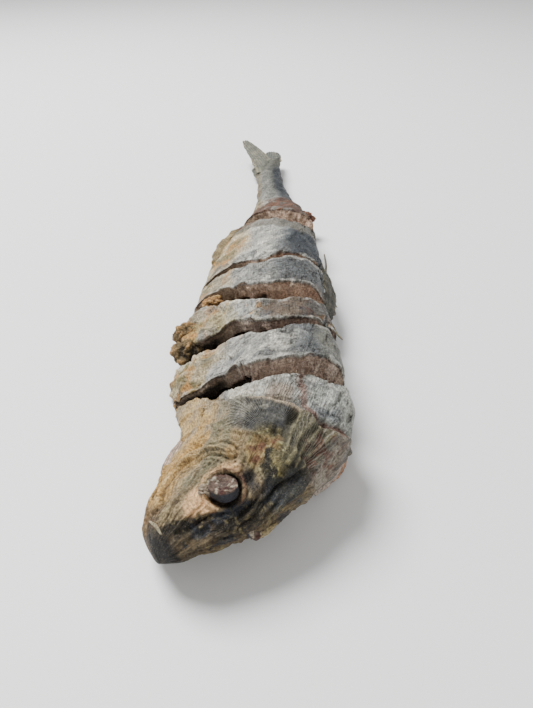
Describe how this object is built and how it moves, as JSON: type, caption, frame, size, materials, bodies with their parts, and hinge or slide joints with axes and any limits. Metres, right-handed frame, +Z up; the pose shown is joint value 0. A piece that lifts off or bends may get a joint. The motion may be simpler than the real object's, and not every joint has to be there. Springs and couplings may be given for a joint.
{
  "type": "freeze-dried sardine",
  "caption": "Whole freeze-dried small fish lying on its side, head curled towards the belly, with gaping knife cuts across its flank.",
  "frame": {"origin": "middle of the fish's footprint, on the surface that it lies on", "axes": "+Z up, +Y from the head to the tail, the right flank upwards, +X from the belly to the back"},
  "size_m": [0.038, 0.1824, 0.022],
  "materials": {
    "dried_fish": "dry silvery skin with a dull sheen, matt brown flesh in the cuts"
  },
  "bodies": {
    "root": {"sardine": "dried_fish"}
  },
  "joints": []
}
